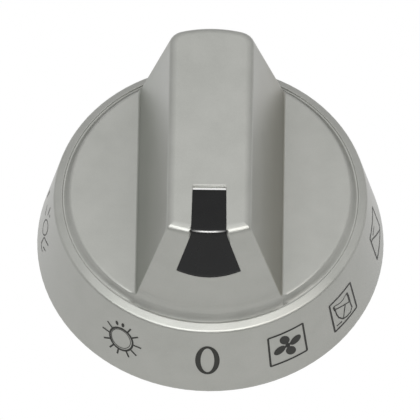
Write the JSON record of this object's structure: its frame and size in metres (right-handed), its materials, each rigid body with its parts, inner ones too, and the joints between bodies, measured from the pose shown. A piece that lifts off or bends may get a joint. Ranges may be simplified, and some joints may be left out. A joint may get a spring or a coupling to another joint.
{
  "type": "cooker control knob",
  "caption": "Round oven control knob with a flared skirt, a tapered bar grip between two half-moon flats, a black pointer inlay and a split D-shaft boss underneath.",
  "frame": {"origin": "on the knob's turning axis, in the plane of the skirt's foot, which is the face that stands on a table or faces the cooker's panel", "axes": "+Z along the turning axis, from the panel towards the grip; the grip runs along Y and its pointer faces -Y; +X to the right of the pointer seen from the front"},
  "size_m": [0.052, 0.052, 0.0323],
  "materials": {
    "silver_paint": "satin silver paint on moulded plastic",
    "black_plastic": "smooth black",
    "spring_steel": "bright spring steel strip",
    "print_ink": "dark grey pad-printed ink"
  },
  "bodies": {
    "root": {"knob_body": "silver_paint", "pointer_insert": "black_plastic", "boss_spring_clip": "spring_steel"}
  },
  "joints": []
}
